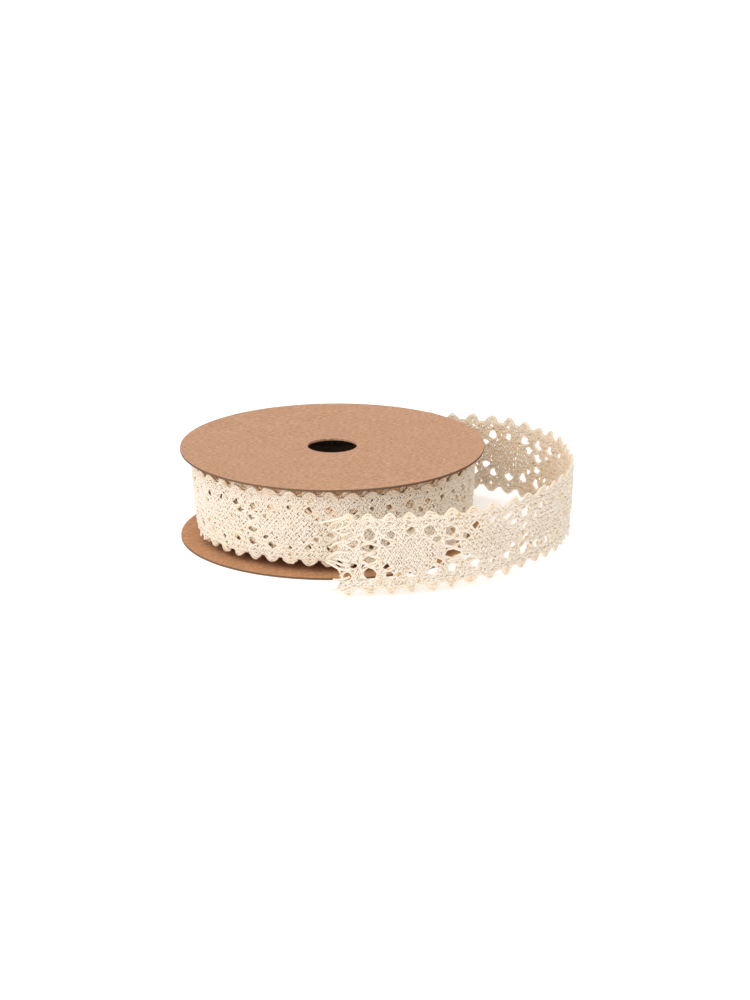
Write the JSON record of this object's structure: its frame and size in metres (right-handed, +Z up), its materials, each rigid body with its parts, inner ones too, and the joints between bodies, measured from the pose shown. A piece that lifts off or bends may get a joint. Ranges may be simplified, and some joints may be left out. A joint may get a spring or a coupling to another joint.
{
  "type": "spool of lace ribbon",
  "caption": "Cotton lace ribbon wound between two round kraft card flanges with a centre hole, its loose end looped round the side to the front.",
  "frame": {"origin": "middle of the foot of the whole object's box, on the surface that the lower flange stands on", "axes": "+Z up along the spool's axis, +X towards the loop of the loose end, -Y towards the cut end in front"},
  "size_m": [0.1034, 0.0954, 0.0243],
  "materials": {
    "kraft_card": "uncoated brown kraft card",
    "cotton_lace": "natural cream cotton thread"
  },
  "bodies": {
    "root": {"bottom_flange": "kraft_card", "top_flange": "kraft_card", "card_core": "kraft_card", "lace_roll": "cotton_lace", "lace_tail": "cotton_lace"}
  },
  "joints": []
}
